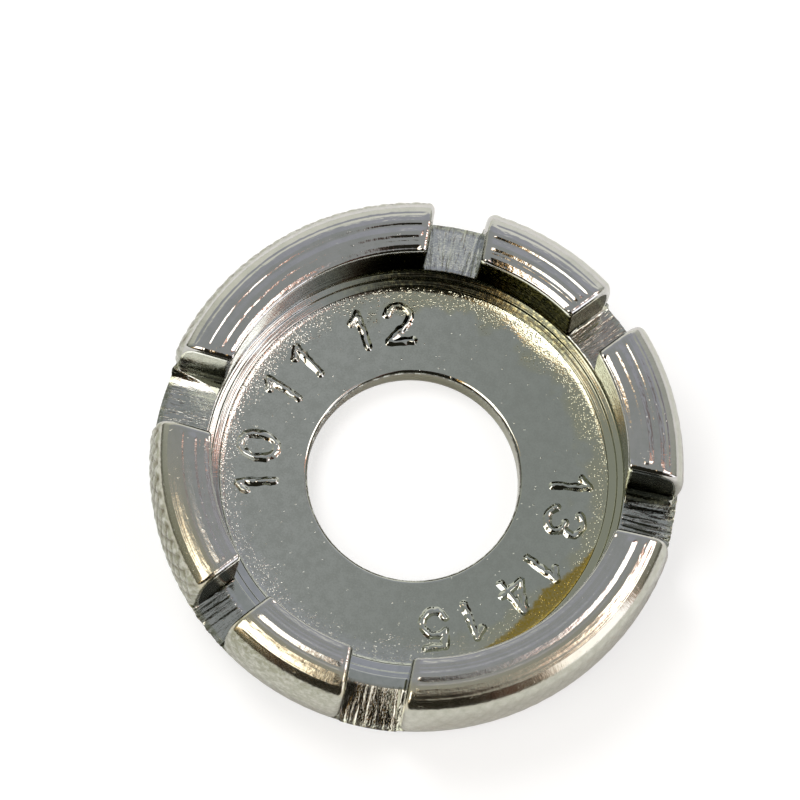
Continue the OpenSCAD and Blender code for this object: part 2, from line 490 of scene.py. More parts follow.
def knurl_depth(angle, z):
    """How deep the knurling goes at an angle and height: 0 on a diamond's middle, 1 in a groove.

    Each family of grooves is |sin(pi u)| with u = N angle / 2 pi +- z / tilt. The depth is one
    minus their product to a small power, faded out at the foot and at the shoulder. The plate
    has filled the grooves more on the side that faces the camera than on the far left.
    """
    clear = LEAST_KNURLED + (1 - LEAST_KNURLED) * smooth_step(-0.1, 0.6, np.cos(angle - KNURL_CLEAREST))
    turns, climb = KNURLS * angle / (2 * np.pi), z / KNURL_TILT_MM
    families = np.abs(np.sin(np.pi * (turns + climb)) * np.sin(np.pi * (turns - climb)))
    from_foot = smooth_step(KNURL_FOOT_Z - 0.3, KNURL_FOOT_Z + 0.2, z)
    to_top = 1 - smooth_step(KNURL_TOP_Z - 0.35, KNURL_TOP_Z + 0.1, z)
    return (1 - families**KNURL_SHARPNESS) * from_foot * to_top * clear


print("side radius at 2, 5.4 and 9 mm:", side_radius(np.array([2.0, 5.4, 9.0])).round(3))

# %% [markdown]
# ## The crown of the rim
#
# The lathe left the top nearly flat with one clear groove, two fine ones on the shoulder and
# three low steps down towards the inside. Bright metal shows slope, not height, so the crown is
# written as a slope at each radius and then summed to give the height.

# %% Crown profile
CROWN_POINTS, CROWN_SAMPLES = 104, 3200
INNER_EDGE_ROUND, FACET_BLUR = 0.24, 0.026
SHALLOWER = 0.12
FACETS = (
    (18.38, 18.50, -14), (18.18, 18.34, 9), (18.02, 18.12, 5), (17.86, 17.98, 6), (17.74, 17.86, 11),
    (17.54, 17.70, 1.5), (17.36, 17.52, -19), (16.86, 17.25, 14.5), (16.62, 16.86, -1), (16.38, 16.58, -17),
    (16.28, 16.34, 3), (16.13, 16.22, -13), (15.90, 16.12, 2), (15.57, 15.86, -19), (15.5, 16.88, -1.0),
)


def crown_profile(facets):
    """Rows of (r, z) from the shoulder inwards, at CROWN_EDGE_Z at both ends.

    The slope is the shoulder circle's own, plus a table of facets (from r, to r, slope in
    degrees), blurred a little. The height is the running sum of the slope.
    """
    outer_r = float(side_radius(np.array([CROWN_EDGE_Z]))[0])
    fine_r = np.linspace(outer_r, CROWN_INSIDE_R, CROWN_SAMPLES)
    step = fine_r[0] - fine_r[1]
    round_the_shoulder = np.clip((fine_r - SHOULDER_R) / SHOULDER_ROUND, 0, 0.99)
    slope = np.tan(np.arcsin(round_the_shoulder))
    for low, high, degrees in facets:
        slope = slope + np.where((fine_r > low) & (fine_r < high), math.tan(math.radians(degrees)), 0.0)
    reach = np.arange(-60, 61) * step
    kernel = np.exp(-((reach / FACET_BLUR) ** 2))
    slope = np.convolve(np.pad(slope, 60, mode="edge"), kernel / kernel.sum(), mode="valid")
    height = CROWN_EDGE_Z + np.concatenate([[0], np.cumsum(slope[:-1] * step)])
    edge_start = CROWN_INSIDE_R + INNER_EDGE_ROUND
    edge_z = float(np.interp(edge_start, fine_r[::-1], height[::-1]))
    body_r = np.linspace(outer_r, edge_start, CROWN_POINTS - 8)
    body = np.stack([body_r, np.interp(body_r, fine_r[::-1], height[::-1])], axis=1)
    turn = np.radians(np.linspace(90, 180, 9))[1:]
    corner_r = edge_start + INNER_EDGE_ROUND * np.cos(turn)
    corner_z = CROWN_EDGE_Z + (edge_z - CROWN_EDGE_Z) * np.sin(turn)
    return np.vstack([body, np.stack([corner_r, corner_z], axis=1)])


CROWN = crown_profile(FACETS)
PLAIN_CROWN = crown_profile([(low, high, degrees * SHALLOWER) for low, high, degrees in FACETS])
print(f"crown: {len(CROWN)} points, top at {CROWN[:, 1].max():.3f} mm, inner edge from {CROWN[-9, 1]:.3f} mm")

# %% [markdown]
# ## Where the slots cut
#
# A slot has straight parallel walls, so its wall isn't at one angle: at radius r a wall that
# runs w/2 beside the slot's middle line is asin(w / 2r) away from it. Each land is swept
# between two such walls. Its ends are rounded over, most at the outer corner.

# %% Land stations and wall angles
STATION_MM = 0.1
GROOVE_FADE_STATIONS = 5
OFF_AXIS = 0.08
FAINTER_ON_LEFT = 0.19
# how dull each land's two slot walls are, and how much painted shade they carry, first the one that it starts
# at
WALL_DULL_AND_SHADE = [(0.75, 0.2), (0.95, 0.2), (0.2, 0.35), (0.2, 0.95), (0.2, 0.2), (0.2, 0.2)]
FOOT_TUCK = 0.06
OUTER_ROUND, TOP_ROUND, INNER_ROUND = 0.68, 0.42, 0.16
LAND_LEVELS = np.concatenate([[3.25, 3.3, 3.33, 3.37, 3.43, 3.5], np.linspace(3.58, CROWN_EDGE_Z, 66)])


def wall_angle(slot, side, radius, extra=0.0):
    """Angle of a slot's wall at a radius; side is +1 past the slot and -1 before it."""
    return SLOT_ANGLES[slot] + side * np.arcsin((SLOT_WIDTHS[slot] / 2 + extra) / radius)


def land_span(land):
    """Angles at which a land's rounded ends meet its full outer side, at the slots' floor."""
    foot_r = float(side_radius(np.array([SLOT_FLOOR_Z]))[0])
    start = wall_angle(land, 1, foot_r, OUTER_ROUND)
    end = wall_angle((land + 1) % 6, -1, foot_r, OUTER_ROUND) + (2 * np.pi if land == 5 else 0)
    return start, end, max(8, int(round((end - start) * SIDE_R / STATION_MM)))


spans = [land_span(k) for k in range(6)]
print("stations per land:", [s[2] for s in spans])

# %% [markdown]
# ## The lands
#
# A land is its section swept along the arc. At each end the section shrinks along a quarter
# ellipse on to a smaller copy of itself, which is the flat wall of the slot. Where the wall
# meets the slot's floor it flares out in a fillet, a large one in the widest slot.

# %% Land section, slot floors and fillets


def land_section(crown):
    """The section's points from the outer foot over the crown to the inner foot, and its end.

    Returns the (r, z) rows, the smaller end section, the reach of the rounding at every point,
    and the number of levels on a side.
    """
    outer = np.stack([side_radius(LAND_LEVELS), LAND_LEVELS], axis=1)
    lean = (LAND_LEVELS - SLOT_FLOOR_Z) / (CROWN_EDGE_Z - SLOT_FLOOR_Z)
    inner = np.stack([RIM_INSIDE_R - (RIM_INSIDE_R - CROWN_INSIDE_R) * lean, LAND_LEVELS], axis=1)
    outer[0, 0] -= FOOT_TUCK
    inner[0, 0] += FOOT_TUCK
    section = np.vstack([outer[:-1], crown, inner[-2::-1]])
    width = SIDE_R - RIM_INSIDE_R
    tall = crown[:, 1].max() - SLOT_FLOOR_Z
    small = section.copy()
    narrowed = 1 - (INNER_ROUND + OUTER_ROUND) / width
    small[:, 0] = RIM_INSIDE_R + INNER_ROUND + (section[:, 0] - RIM_INSIDE_R) * narrowed
    raised = np.maximum(section[:, 1] - SLOT_FLOOR_Z, 0)
    small[:, 1] = np.minimum(section[:, 1], SLOT_FLOOR_Z) + raised * (1 - TOP_ROUND / tall)
    across = (section[:, 0] - RIM_INSIDE_R) / width
    on_top = smooth_step(CROWN_EDGE_Z - 1.2, CROWN_EDGE_Z, section[:, 1])
    beside = np.where(across > 0.5, OUTER_ROUND, INNER_ROUND)
    reach = beside * (1 - on_top) + TOP_ROUND * on_top
    return section, small, reach, len(LAND_LEVELS)


def slot_floor(radius, slot):
    """Height of a slot's floor: level next to the dish, then falling outwards from a slight lip."""
    past = radius - SLOT_STRIPS[slot]
    lip = SLOT_LIPS[slot] * smooth_step(-0.05, 0.05, past)
    return SLOT_FLOOR_Z + lip - SLOT_FALLS[slot] * np.maximum(past, 0)


def foot_flare(radius, z, slot):
    """How far a wall stands into the slot at height z: a quarter circle that meets the floor."""
    above = np.maximum(z - np.minimum(slot_floor(radius, slot), SLOT_FLOOR_Z), 0)
    share = np.clip(above / SLOT_FILLETS[slot], 0, 1)
    flare = SLOT_FILLETS[slot] * (1 - np.sqrt(np.maximum(1 - (1 - share) ** 2, 0)))
    return np.where(z < SLOT_FLOOR_Z, -FOOT_TUCK, flare)


def to_space(radius, angle, z):
    """Cylinder coordinates to rows of x, y, z."""
    return np.stack([radius * np.cos(angle), radius * np.sin(angle), z], axis=-1)


print("section of a land:", len(land_section(CROWN)[0]), "points")

# %% [markdown]
# ### Sweeping a land
#
# A land is a grid: its rows are the stations along the arc, nine of them in each rounded end,
# and its columns are the section's points. Grooves and knurling are taken off the radius of
# the whole grid at once. Each slot wall is a smaller grid that shares its border with the ends.

# %% Land surfaces


def make_land(land):
    """Sweeps the land's section from one slot wall to the next and closes both ends."""
    grooved = land_section(CROWN)[0]
    section, small, reach, levels = land_section(PLAIN_CROWN)
    start_slot, end_slot = land, (land + 1) % 6
    lap = 2 * np.pi if land == 5 else 0.0
    turn = np.radians(np.linspace(0, 90, 9))[:, None]
    shrunk = small[None] + (section - small)[None] * np.sin(turn)[..., None]
    offset = reach[None] * (1 - np.cos(turn))

    def end_rows(slot, side):
        inset = offset - foot_flare(shrunk[..., 0], shrunk[..., 1], slot) * np.cos(turn) ** 2
        return wall_angle(slot, side, shrunk[..., 0], inset)

    first = end_rows(start_slot, 1)
    last = end_rows(end_slot, -1) + lap
    stations = spans[land][2]
    share = np.linspace(0, 1, stations)[1:-1, None]
    middle = first[-1][None] * (1 - share) + last[-1][None] * share
    angle = np.vstack([first, middle, last[::-1]])
    from_end = np.minimum(np.arange(len(middle)), np.arange(len(middle))[::-1])
    cut = smooth_step(-1, GROOVE_FADE_STATIONS, from_end)[:, None, None]
    cut = cut * (1 - FAINTER_ON_LEFT * smooth_step(0.4, 0.8, -np.cos(middle.mean(1))))[:, None, None]
    profile = np.concatenate([shrunk, section + (grooved - section) * cut, shrunk[::-1]])
    radius, z = profile[..., 0].copy(), profile[..., 1].copy()

    # the shoulder's grooves were turned a little off the axis
    shoulder = smooth_step(17.4, 18.3, radius) * (1 - smooth_step(18.5, 18.76, radius)) * (z > CROWN_EDGE_Z)
    full_cut = np.concatenate([np.zeros(9), cut[:, 0, 0], np.zeros(9)])[:, None]
    radius -= OFF_AXIS * np.sin(angle) * shoulder * full_cut

    # the knurling is carved inwards on the outer side and fades where the ends round over
    outside = np.zeros(len(section))
    outside[: levels + 24] = 1 - smooth_step(levels + 4, levels + 22, np.arange(levels + 24))
    rising = np.sin(turn[:, 0]) ** 2
    full = np.concatenate([rising, np.ones(len(middle)), rising[::-1]])[:, None]
    hollow = knurl_depth(angle, z) * outside * full
    radius -= KNURL_DEPTH * hollow
    on_top = smooth_step(CROWN_EDGE_Z - 0.1, CROWN_EDGE_Z + 0.15, z)

    # the crown ripples a little, and the inner side is rougher on the two far lands
    ripple = smooth_noise(z.shape, (6, 5), 20 + land) * 0.0017
    z += (ripple + smooth_noise(z.shape, (30, 18), 40 + land) * 0.003) * on_top
    inside = smooth_step(levels + len(CROWN) - 4, levels + len(CROWN) + 4, np.arange(len(section)))
    coarse = 0.005 if land in (0, 1) else 0.0015
    radius += smooth_noise(z.shape, (5, 3.5), 60 + land) * coarse * inside
    radius += smooth_noise(z.shape, (60, 7), 70 + land) * 0.004 * inside

    rows, columns = angle.shape
    sweep = to_space(radius, angle, z)
    quads = [grid_faces(rows, columns)]
    polygons, extra = [], []
    count = rows * columns
    # each end: levels of points between the outer and inner side, then the crown's own row
    share = (PLAIN_CROWN[:, 0] - CROWN_INSIDE_R) / (PLAIN_CROWN[0, 0] - CROWN_INSIDE_R)
    for row, slot, side, add in ((0, start_slot, 1, 0.0), (rows - 1, end_slot, -1, lap)):
        outer = small[:levels]
        inner = small[::-1][:levels]
        wide = inner[:, None] * (1 - share[None, :, None]) + outer[:, None] * share[None, :, None]
        depth = -foot_flare(wide[..., 0], wide[..., 1], slot)
        turned = wall_angle(slot, side, wide[..., 0], depth) + add
        inner_points = to_space(wide[..., 0], turned, wide[..., 1])[:, 1:-1]
        index = np.empty((levels, len(share)), int)
        index[:, 0] = row * columns + np.arange(levels)
        index[:, -1] = row * columns + columns - 1 - np.arange(levels)
        made = inner_points[:-1].reshape(-1, 3)
        index[:-1, 1:-1] = count + np.arange(len(made)).reshape(levels - 1, -1)
        index[-1, 1:-1] = row * columns + np.arange(levels, levels + len(share) - 2)
        corners = (index[:-1, :-1], index[:-1, 1:], index[1:, 1:], index[1:, :-1])
        wall = np.stack([c.ravel() for c in corners], axis=1)
        quads.append(wall[:, ::-1] if row == 0 else wall)
        extra.append(made)
        count += len(made)
        nearby = row + 1 if row == 0 else row - 1
        rim = [nearby * columns + columns - 1, *index[0, ::-1], nearby * columns]
        polygons.append(rim if row == 0 else rim[::-1])
    this, following = np.arange(1, rows - 2) * columns, np.arange(2, rows - 1) * columns
    quads.append(np.stack([this, this + columns - 1, following + columns - 1, following], axis=1))
    points = np.vstack([sweep.reshape(-1, 3), *extra])

    # where the finish changes, as marks on the points
    swept = rows * columns
    walls = np.ones(len(points))
    walls[:swept] = np.broadcast_to(inside, z.shape).ravel()
    degrees = np.degrees(angle)
    far_side = smooth_step(50, 60, degrees) * (1 - smooth_step(112, 132, degrees))
    # the dull mark paints shade: each slot wall its own share, and the inner side fully on the far side
    dull = np.full(len(points), WALL_DULL_AND_SHADE[land][1])
    dull[swept : swept + len(extra[0])] = WALL_DULL_AND_SHADE[land][0]
    dull[:swept] = (inside * (0.3 + 0.7 * far_side)).ravel()
    satin = np.zeros(len(points))
    satin[:swept] = smooth_step(-0.1, 0.75, -np.sin(angle)).ravel()
    hollows = np.zeros(len(points))
    hollows[:swept] = hollow.ravel()
    name = f"land_{land + 1}"
    marks = {"hollow": hollows, "wall": walls, "dull": dull, "satin": satin}
    finish = (plated_rim, "plated_rim", [name])
    return build_piece("plated_" + name, points, np.vstack(quads), *finish, polygons, marks, crease=50)


for k in range(6):
    make_land(k)

# %% [markdown]
# ## The rim's base
#
# Below the slots' floors the rim runs all the way round: a closed section turned about the
# axis. Its columns stand exactly under the lands' stations, so the knurling meets edge to edge.
# The cutter left ridges along each slot and a ragged burr at each slot's outer edge.

# %% Rim base columns and section
SLOT_STATIONS = 56
BASE_LEVELS = 25
MOUTH_ROW = 3 + BASE_LEVELS


def base_columns():
    """Angles of the columns: the lands' own stations, and finer steps across each slot."""
    pieces = []
    for k, (start, end, stations) in enumerate(spans):
        pieces.append(np.linspace(start, end, stations)[:-1])
        following = spans[(k + 1) % 6][0] + (2 * np.pi if k == 5 else 0)
        pieces.append(np.linspace(end, following, SLOT_STATIONS)[:-1])
    return np.concatenate(pieces)


def base_section():
    """The base's closed section, from the foot up the side, across the top and down the steps."""
    foot_r = float(side_radius(np.array([0.0]))[0])
    levels = np.linspace(FOOT_BEVEL, SLOT_FLOOR_Z, BASE_LEVELS)
    side = np.stack([side_radius(levels), levels], axis=1)
    under = foot_r - FOOT_BEVEL
    return np.vstack([
        arc((under - 0.08, 0.19), 0.19, -90, -45, 4),
        side,
        line((side[-1, 0] - 0.12, SLOT_FLOOR_Z), (RIM_INSIDE_R + 0.12, SLOT_FLOOR_Z), 16),
        arc((RIM_INSIDE_R + 0.07, SLOT_FLOOR_Z - 0.07), 0.07, 90, 180, 4),
        arc((RIM_INSIDE_R - 0.14, HIGH_STEP_Z + 0.17), 0.14, 0, -80.5, 5),
        arc((HIGH_STEP_R + 0.09, HIGH_STEP_Z - 0.10), 0.09, 99.5, 180, 5),
        arc((HIGH_STEP_R - 0.12, LOW_STEP_Z + 0.15), 0.12, 0, -80.5, 5),
        arc((FLOOR_R + 0.1, LOW_STEP_Z - 0.11), 0.1, 99.5, 170, 4),
        [[FLOOR_R, 1.2], [FLOOR_R, 0.0]],
    ])


def slot_depths(angle, radius):
    """How far inside the nearest slot's wall a point lies (below 0 under a land), and that slot."""
    depth = np.full(angle.shape, -9.0)
    nearest = np.zeros(angle.shape, int)
    for slot in range(6):
        away = np.angle(np.exp(1j * (angle - SLOT_ANGLES[slot])))
        inside = SLOT_WIDTHS[slot] / 2 - np.abs(radius * np.sin(away))
        inside[np.abs(away) > 0.5] = -9.0
        nearest[inside > depth] = slot
        depth = np.maximum(depth, inside)
    return depth, nearest


print("rim base:", len(base_columns()), "columns of", len(base_section()), "points")

# %% [markdown]
# ### Cutting the slots into the base
#
# A point's depth inside the nearest slot says how much of the slot's floor it gets. The side
# below a slot's mouth is pulled down with the floor, so that no step shows on the outside.

# %% Rim base surface


def make_rim_base():
    """Turns the base's section about the axis, sinks the slots' floors and knurls the side."""
    theta = base_columns()
    section = base_section()
    angle = np.broadcast_to(theta[:, None], (len(theta), len(section))).copy()
    radius = np.broadcast_to(section[:, 0], angle.shape).copy()
    z = np.broadcast_to(section[:, 1], angle.shape).copy()
    depth, slot = slot_depths(angle, radius)
    index = np.arange(len(section))
    on_floor = (index >= MOUTH_ROW) & (index <= MOUTH_ROW + 16)
    on_side = (index >= 4) & (index <= MOUTH_ROW)

    # the floor and the lower part of the fillets, no higher than the lands' feet and the lip
    fillet = SLOT_FILLETS[slot]
    share = np.clip(1 - depth / fillet, 0, 1)
    rise = fillet * (1 - np.sqrt(np.maximum(1 - share**2, 0)))
    streaks = smooth_noise(z.shape, (2.6, 30), 11) + 0.5 * smooth_noise(z.shape, (2.2, 8), 12)
    outside_strip = smooth_step(-0.1, 0.1, radius - SLOT_STRIPS[slot])
    sunk = slot_floor(radius, slot) + rise + streaks * SLOT_STREAKS[slot] * outside_strip
    sunk = np.minimum(sunk, SLOT_FLOOR_Z + SLOT_LIPS[slot])
    inside = smooth_step(-0.02, 0.06, depth)
    z = np.where(on_floor, SLOT_FLOOR_Z * (1 - inside) + sunk * inside, z)
    mouth_drop = (SLOT_FLOOR_Z - z[:, MOUTH_ROW])[:, None]
    z = np.where(on_side, section[:, 1] - mouth_drop * smooth_step(1.6, SLOT_FLOOR_Z, section[:, 1]), z)
    radius = np.where(on_side & (section[:, 1] > 1.0), side_radius(z), radius)

    hollow = knurl_depth(angle, z) * on_side
    radius -= KNURL_DEPTH * hollow
    burr = smooth_noise((len(theta), 1), (2.0, 1), 7) * (inside * (index == MOUTH_ROW))
    radius += np.clip(burr, -2.0, 0.6) * 0.045
    z += np.abs(burr) * 0.03
    points = to_space(radius, angle, z).reshape(-1, 3)
    quads = grid_faces(len(theta), len(section), True, True)
    slots = inside * on_floor * outside_strip
    marks = {"hollow": hollow, "slots": slots * SLOT_COARSE[slot], "warm": slots * SLOT_WARMTH[slot]}
    marks = {label: values.ravel() for label, values in marks.items()}
    finish = (milled_slots, "milled_slots")
    return build_piece("milled_rim_base", points, quads, *finish, ["rim_base"], marks=marks, crease=35)


make_rim_base()

# %% [markdown]
# ## The web
#
# The dish's floor is as cast: smooth by the hole and grainy towards the rim, where it turns up
# in a wide fillet, more so in two places. It is a closed ring too, with a plain underside, so
# the fillet and the grain are heights that are added to its top rows alone.

# %% Web surface
FILLET_R, FILLET_RISE = 12.8, 0.17
CORNER_R, CORNER_RISE = 14.1, 0.08
SWELL_ANGLES = math.radians(64), math.radians(158)
SWELL_SPREADS = 0.24, 0.45
SWELL_RISES = 0.18, 0.09


def web_section():
    """The web's closed section: up the hole, over its edge, out along the floor and back below."""
    run = np.linspace(HOLE_R + 0.36, FLOOR_R - 0.02, 66)
    return np.vstack([
        arc((HOLE_R + 0.12, 0.12), 0.12, -90, -180, 4),
        line((HOLE_R, 0.5), (HOLE_R, FLOOR_Z - 0.45), 4),
        arc((HOLE_R + 0.32, FLOOR_Z - 0.32), 0.32, 180, 94, 9),
        np.stack([run, np.full(len(run), FLOOR_Z)], axis=1),
        [[FLOOR_R, 2.4], [FLOOR_R, 1.2], [FLOOR_R, 0.0]],
        line((FLOOR_R - 0.8, 0.0), (HOLE_R + 0.6, 0.0), 6),
    ])


def bell(angle, middle, spread):
    """exp(-(a / spread)^2), where a is the way round from the middle, in radians."""
    return np.exp(-((np.angle(np.exp(1j * (angle - middle))) / spread) ** 2))


def outwards(radius, start):
    """0 up to the starting radius, and evenly up to 1 at the edge of the floor."""
    return np.clip((radius - start) / (FLOOR_R - start), 0, 1)


def make_web():
    """Turns the web's section about the axis and roughens its floor."""
    section = web_section()
    theta = np.linspace(0, 2 * np.pi, 960, endpoint=False)
    angle = np.broadcast_to(theta[:, None], (len(theta), len(section)))
    radius = np.broadcast_to(section[:, 0], angle.shape).copy()
    z = np.broadcast_to(section[:, 1], angle.shape).copy()
    floor_rows = (section[:, 1] > FLOOR_Z - 0.02) & (section[:, 0] < FLOOR_R - 0.01)
    far, left = (bell(angle, *swell) for swell in zip(SWELL_ANGLES, SWELL_SPREADS))
    rise = FILLET_RISE + SWELL_RISES[0] * far + SWELL_RISES[1] * left
    z += rise * outwards(radius, FILLET_R) ** 1.5 * floor_rows
    z += CORNER_RISE * (1 - far) * outwards(radius, CORNER_R) ** 2 * floor_rows
    grainy = smooth_step(12.3, 13.5, radius) * floor_rows
    calm = (1 - grainy) * floor_rows
    z += smooth_noise(z.shape, (3.2, 3.0), 3) * (0.0018 * grainy + 0.0004 * calm)
    z += smooth_noise(z.shape, (34, 24), 4) * 0.004 * floor_rows
    rare = np.maximum(smooth_noise(z.shape, (3.0, 2.6), 5) - 3.0, 0)
    z += rare * np.sign(smooth_noise(z.shape, (30, 30), 6)) * 0.035 * calm
    points = to_space(radius, angle, z).reshape(-1, 3)
    quads = grid_faces(len(theta), len(section), True, True)
    return build_piece("cast_web", points, quads, cast_floor, "cast_floor", ["web"], crease=35)


make_web()

# %% [markdown]
# ## The raised size marks
#
# Plain numbers stand on the dish's floor in two arcs, as on a casting. Each digit is a small
# height field: the height at a point depends only on its distance from the digit's middle
# line, so every stroke gets the soft, rounded top that a casting has.

# %% Digits and their places
DIGIT_TALL, DIGIT_WIDE = 2.75, 1.85
STROKE_FLAT, STROKE_REACH = 0.03, 0.45
STROKE_WOBBLE = 0.03
RELIEF, SUNK = 0.19, 0.035
GRID_STEP = 0.045
MARK_R = 11.75


def bow(cx, cy, rx, ry, start, end, count=14):
    """Points of an ellipse between two angles in degrees, in the digit's unit square."""
    turn = np.radians(np.linspace(start, end, count))
    return np.stack([cx + rx * np.cos(turn), cy + ry * np.sin(turn)], axis=1)


DIGITS = {
    "0": [bow(0.5, 0.5, 0.5, 0.5, 0, 360, 26)],
    "1": [np.array([[0.2, 0.78], [0.55, 1.0], [0.55, 0.0]])],
    "2": [np.vstack([bow(0.5, 0.70, 0.47, 0.30, 165, -35), [[0.03, 0.0], [1.0, 0.0]]])],
    "3": [np.vstack([bow(0.48, 0.74, 0.44, 0.26, 160, -85), bow(0.48, 0.26, 0.5, 0.26, 85, -160)])],
    "4": [np.array([[0.98, 0.28], [0.0, 0.28], [0.7, 1.0], [0.7, 0.0]])],
    "5": [np.vstack([[[0.92, 1.0], [0.15, 1.0], [0.08, 0.56]], bow(0.46, 0.33, 0.5, 0.33, 125, -155)])],
}
MARKS = [(199, "1"), (185, "0"), (162, "1"), (148, "1"), (125, "1"), (111, "2"),
         (13, "1"), (-1, "3"), (-20, "1"), (-34, "4"), (-53, "1"), (-67, "5")]


print("marks, in the order that they are made:", "".join(digit for _, digit in MARKS))

# %% [markdown]
# ### Raising the digits
#
# A slow random shift of the grid lets each stroke waver, as a cast one does. The height falls
# from full relief on the middle line to nothing a short way from it.

# %% Digits as height fields


def stroke_distance(grid, strokes):
    """Distance from every grid point to the nearest segment of the strokes."""
    nearest = np.full(grid.shape[:-1], np.inf)
    for stroke in strokes:
        path = (stroke - 0.5) * [DIGIT_WIDE, DIGIT_TALL]
        start, along = path[:-1], np.diff(path, axis=0)
        share = ((grid[..., None, :] - start) * along).sum(-1) / (along**2).sum(-1)
        foot = start + np.clip(share, 0, 1)[..., None] * along
        nearest = np.minimum(nearest, np.linalg.norm(grid[..., None, :] - foot, axis=-1).min(-1))
    return nearest


def make_marks():
    """All the digits as one piece: tops towards the rim, read clockwise."""
    across = np.arange(-DIGIT_WIDE / 2 - 0.4, DIGIT_WIDE / 2 + 0.4, GRID_STEP)
    up = np.arange(-DIGIT_TALL / 2 - 0.4, DIGIT_TALL / 2 + 0.4, GRID_STEP)
    points, quads, polygons = [], [], []
    for k, (degrees, digit) in enumerate(MARKS):
        grid = np.stack(np.meshgrid(across, up, indexing="ij"), axis=-1)
        wobble = np.stack([smooth_noise(grid.shape[:2], (14, 14), seed + k) for seed in (80, 110)], axis=-1)
        away = stroke_distance(grid + wobble * STROKE_WOBBLE, DIGITS[digit])
        height = RELIEF * (1 - smooth_step(STROKE_FLAT, STROKE_REACH, away))
        height *= 1 + 0.1 * smooth_noise(grid.shape[:2], (20, 20), 140 + k)
        turn = math.radians(degrees)
        outward = np.array([math.cos(turn), math.sin(turn)])
        sideways = np.array([math.sin(turn), -math.cos(turn)])
        flat = grid[..., :1] * sideways + (grid[..., 1:] + MARK_R) * outward
        z = FLOOR_Z - SUNK + height
        first = sum(len(p) for p in points)
        points.append(np.dstack([flat, z]).reshape(-1, 3))
        rows, columns = height.shape
        quads.append(grid_faces(rows, columns, first=first))
        index = first + np.arange(rows * columns).reshape(rows, columns)
        border = np.concatenate([index[0, :], index[1:, -1], index[-1, -2::-1], index[-2:0:-1, 0]])
        polygons.append(border)
    finish = (cast_floor, "cast_floor")
    return build_piece("size_marks", np.vstack(points), np.vstack(quads), *finish, [], polygons, crease=60)


make_marks()

# %% [markdown]
# ## The camera
#
# The view was fitted to the photograph: the hole, the rim's inner edge and the slots' corners
# all land within about a pixel. It looks down at 75 degrees, from far away, a little rolled.

# %% Camera
VIEW_TILT, VIEW_ROLL, VIEW_SIDE = map(math.radians, (14.873, 75.538, 91.618))
PIXELS_PER_MM = 13.476
VIEW_DISTANCE = 606.0
FRAME_PIXELS = 800
AXIS_PIXEL = (413.762, 476.097)

level = math.cos(VIEW_TILT)
uphill = np.array([level * math.cos(VIEW_SIDE), level * math.sin(VIEW_SIDE), math.sin(VIEW_TILT)])
crosswise = np.array([-math.sin(VIEW_SIDE), math.cos(VIEW_SIDE), 0.0])
towards = np.cross(uphill, crosswise)
right = math.cos(VIEW_ROLL) * uphill - math.sin(VIEW_ROLL) * crosswise
upwards = math.sin(VIEW_ROLL) * uphill + math.cos(VIEW_ROLL) * crosswise
middle = FRAME_PIXELS / 2
eye = (
    np.array([0, 0, FLOOR_Z])
    - (AXIS_PIXEL[0] - middle) / PIXELS_PER_MM * right
    + (AXIS_PIXEL[1] - middle) / PIXELS_PER_MM * upwards
    + VIEW_DISTANCE * towards
)
lens = bpy.data.cameras.new("camera")
lens.sensor_width = 36.0
lens.lens = PIXELS_PER_MM * VIEW_DISTANCE / FRAME_PIXELS * lens.sensor_width
lens.clip_start, lens.clip_end = 0.01, 20.0
camera = bpy.data.objects.new("camera", lens)


def placed(x_axis, y_axis, z_axis, origin):
    """A Blender matrix with these axes and this origin."""
    matrix = np.eye(4)
    matrix[:3] = np.stack([x_axis, y_axis, z_axis, origin], axis=1)
    return Matrix(matrix.tolist())


camera.matrix_world = placed(right, upwards, towards, eye * MM)
bpy.context.scene.collection.objects.link(camera)
bpy.context.scene.camera = camera
print("camera at", (eye * MM).round(4), "lens", round(lens.lens, 1))

# %% [markdown]
# ## The floor
#
# The floor is one pale sheet just below the underside. The camera sees a grey that glows up to
# white, which needs no more light on the tool and still shows its shadow. Every other ray, such
# as one that the plate mirrors, meets plain pale card.

# %% Floor
WHITE = (1.0, 1.0, 1.0)
HALF_FLOOR, JUST_BELOW = 3.0, -2e-5
floor_mesh = bpy.data.meshes.new("floor")
signs = ((-1, -1), (1, -1), (1, 1), (-1, 1))
floor_mesh.from_pydata([(x * HALF_FLOOR, y * HALF_FLOOR, JUST_BELOW) for x, y in signs], [], [(0, 1, 2, 3)])
floor_paint = bpy.data.materials.new("floor_paint")
n = Nodes(floor_paint)
seen = n.add("ShaderNodeLightPath").outputs["Is Camera Ray"]
card = n.add("ShaderNodeBsdfDiffuse", {"Color": (0.85, 0.85, 0.85)})
shade = n.add("ShaderNodeBsdfDiffuse", {"Color": (0.4, 0.4, 0.4)})
glow = n.add("ShaderNodeEmission", {"Color": WHITE, "Strength": 0.66})
white = n.add("ShaderNodeAddShader", {0: shade.outputs[0], 1: glow.outputs[0]})
mixed = n.add("ShaderNodeMixShader", {0: seen, 1: card.outputs[0], 2: white.outputs[0]})
n.add("ShaderNodeOutputMaterial", {0: mixed.outputs[0]})
floor_mesh.materials.append(floor_paint)
floor = bpy.data.objects.new("floor", floor_mesh)
bpy.context.scene.collection.objects.link(floor)
print("floor:", 2 * HALF_FLOOR, "m square")

# %% [markdown]
# ## The room
#
# A mirror shows its room, so the room has to be right. It is a colour for each direction, which
# costs nothing to render and needs no objects: a plain grey ceiling, walls that are pale behind
# and dark where the camera stands, and a white table. All of it was set by hand, until the
# crown, the shoulder and the slots' walls mirrored about what they do in the photograph.

